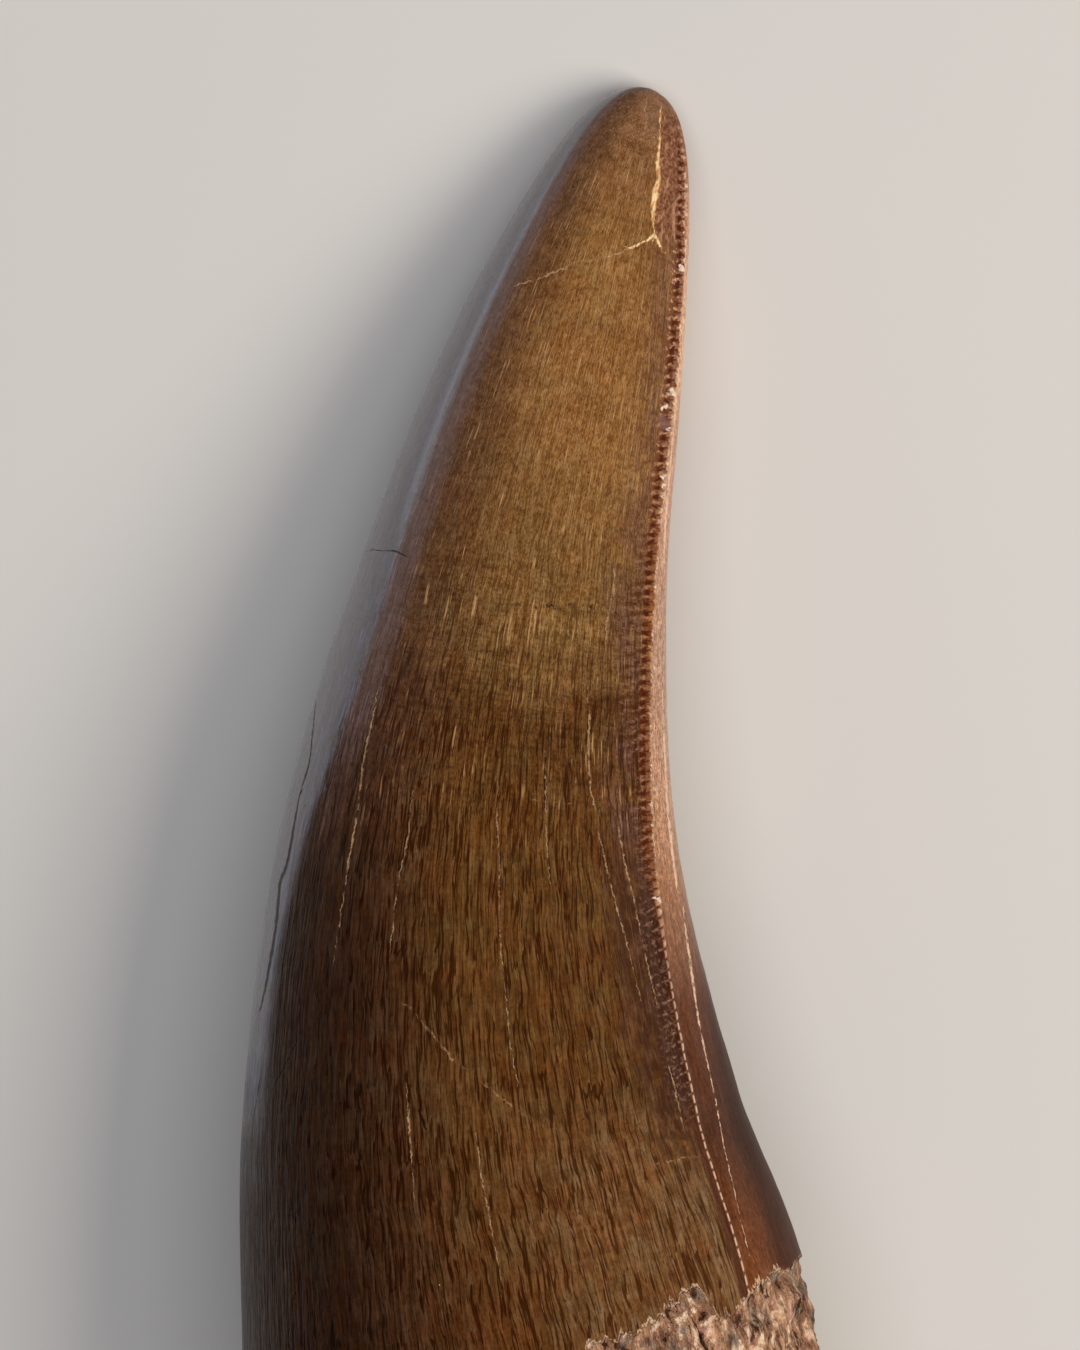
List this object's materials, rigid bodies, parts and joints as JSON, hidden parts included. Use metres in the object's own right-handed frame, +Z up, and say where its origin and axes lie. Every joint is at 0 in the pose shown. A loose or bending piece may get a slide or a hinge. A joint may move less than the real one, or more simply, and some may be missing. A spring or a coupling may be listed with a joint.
{
  "type": "tyrannosaurus tooth",
  "caption": "Fossil tooth of a large meat-eating dinosaur: a tall recurved crown with a serrated keel down its rear edge and a broken root stub, lying on its inner side",
  "frame": {"origin": "under the middle of the tooth's bounding box, on the surface that it lies on", "axes": "+Z up, out of the outer side of the tooth; +Y towards the tip; +X towards the serrated rear edge"},
  "size_m": [0.0356, 0.0932, 0.0253],
  "materials": {
    "fossil_enamel": "satin mineralised enamel, brown and olive, with fine lengthwise grain"
  },
  "bodies": {
    "root": {"tooth": "fossil_enamel"}
  },
  "joints": []
}
